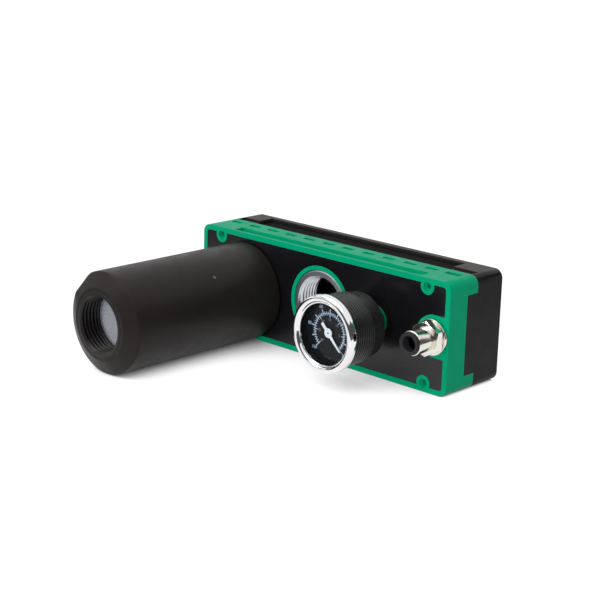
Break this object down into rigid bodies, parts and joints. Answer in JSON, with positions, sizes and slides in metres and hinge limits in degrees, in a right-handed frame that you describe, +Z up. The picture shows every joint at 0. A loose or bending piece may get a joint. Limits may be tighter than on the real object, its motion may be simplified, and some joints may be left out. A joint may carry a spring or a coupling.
{
  "type": "suction pump",
  "caption": "Compressed-air vacuum pump: flat green and black housing with a round silencer, an open threaded vacuum port, a small dial gauge and a push-in air inlet.",
  "frame": {"origin": "centre of the housing's base", "axes": "+X along the housing to the inlet's end, -Y out of the front where the ports are, +Z up"},
  "size_m": [0.187, 0.1533, 0.062],
  "materials": {
    "green_shell": "satin moulded",
    "black_shell": "fine matte texture",
    "label": "gloss",
    "seal_rubber": "matte",
    "flap_rubber": "matte",
    "screw_steel": "zinc plated",
    "insert_steel": "plated, turned",
    "partition_plastic": "matte",
    "ejector_plastic": "matte",
    "nozzle_brass": "turned",
    "nozzle_plastic": "matte",
    "silencer_plastic": "fine matte texture",
    "liner": "porous",
    "nickel": "bright nickel plate",
    "gripper_steel": "bright",
    "release_plastic": "satin",
    "stem_brass": "machined",
    "case_plastic": "satin",
    "bezel_chrome": "mirror",
    "lens_glass": "clear",
    "dial_face": "printed",
    "movement_brass": "stamped",
    "tube_bronze": "drawn",
    "spring_bronze": "drawn",
    "pointer_white": "matte paint"
  },
  "bodies": {
    "housing": {"front_cover": "green_shell", "rear_housing": "black_shell", "front_label": "label", "cover_gasket": "seal_rubber", "upper_ejector_seals": "seal_rubber", "lower_ejector_seals": "seal_rubber", "silencer_seal": "seal_rubber", "inlet_seal": "seal_rubber", "inlet_tube_seal": "seal_rubber", "gauge_seal": "seal_rubber", "gauge_lens_gasket": "seal_rubber", "upper_flap_valves": "flap_rubber", "lower_flap_valves": "flap_rubber", "cover_screws": "screw_steel", "gauge_screws": "screw_steel", "exhaust_insert": "insert_steel", "vacuum_insert": "insert_steel", "air_partition": "partition_plastic", "exhaust_partition": "partition_plastic", "upper_ejector_body": "ejector_plastic", "lower_ejector_body": "ejector_plastic", "upper_drive_nozzle": "nozzle_brass", "lower_drive_nozzle": "nozzle_brass", "upper_stage_nozzles": "nozzle_plastic", "lower_stage_nozzles": "nozzle_plastic", "silencer_shell": "silencer_plastic", "silencer_end_cap": "silencer_plastic", "silencer_liner": "liner", "inlet_body": "nickel", "inlet_gripper": "gripper_steel", "gauge_stem": "stem_brass", "gauge_case": "case_plastic", "gauge_bezel": "bezel_chrome", "gauge_lens": "lens_glass", "gauge_dial": "dial_face", "gauge_rear_plate": "movement_brass", "gauge_front_plate": "movement_brass", "gauge_pillars": "movement_brass", "gauge_bourdon_tip": "movement_brass", "gauge_bourdon_tube": "tube_bronze", "gauge_hairspring": "spring_bronze"},
    "sector": {"gauge_sector": "movement_brass"},
    "link": {"gauge_link": "movement_brass"},
    "pointer": {"gauge_pinion": "movement_brass", "gauge_pointer": "pointer_white"},
    "release_ring": {"inlet_release_ring": "release_plastic"}
  },
  "joints": [
    {"name": "sector_turn", "type": "hinge", "parent": "housing", "child": "sector", "pos_m": [0.04815, -0.0528, 0.02251], "axis": [0, 1, 0], "range_deg": [0, 45], "stiffness_Nm_per_rad": 0.01},
    {"name": "link_swing", "type": "hinge", "parent": "sector", "child": "link", "pos_m": [0.05169, -0.0521, 0.01897], "axis": [0, 1, 0], "range_deg": [-45, 0]},
    {"name": "pointer_spin", "type": "hinge", "parent": "housing", "child": "pointer", "pos_m": [0.0429, -0.0558, 0.0316], "axis": [0, -1, 0], "range_deg": [0, 270]},
    {"name": "release_slide", "type": "slide", "parent": "housing", "child": "release_ring", "axis": [0, 1, 0], "range_m": [0, 0.0015], "stiffness_N_per_m": 2000}
  ],
  "couplings": [
    {"joint": "link_swing", "follows": "sector_turn", "ratio": -1},
    {"joint": "pointer_spin", "follows": "sector_turn", "ratio": 6}
  ]
}
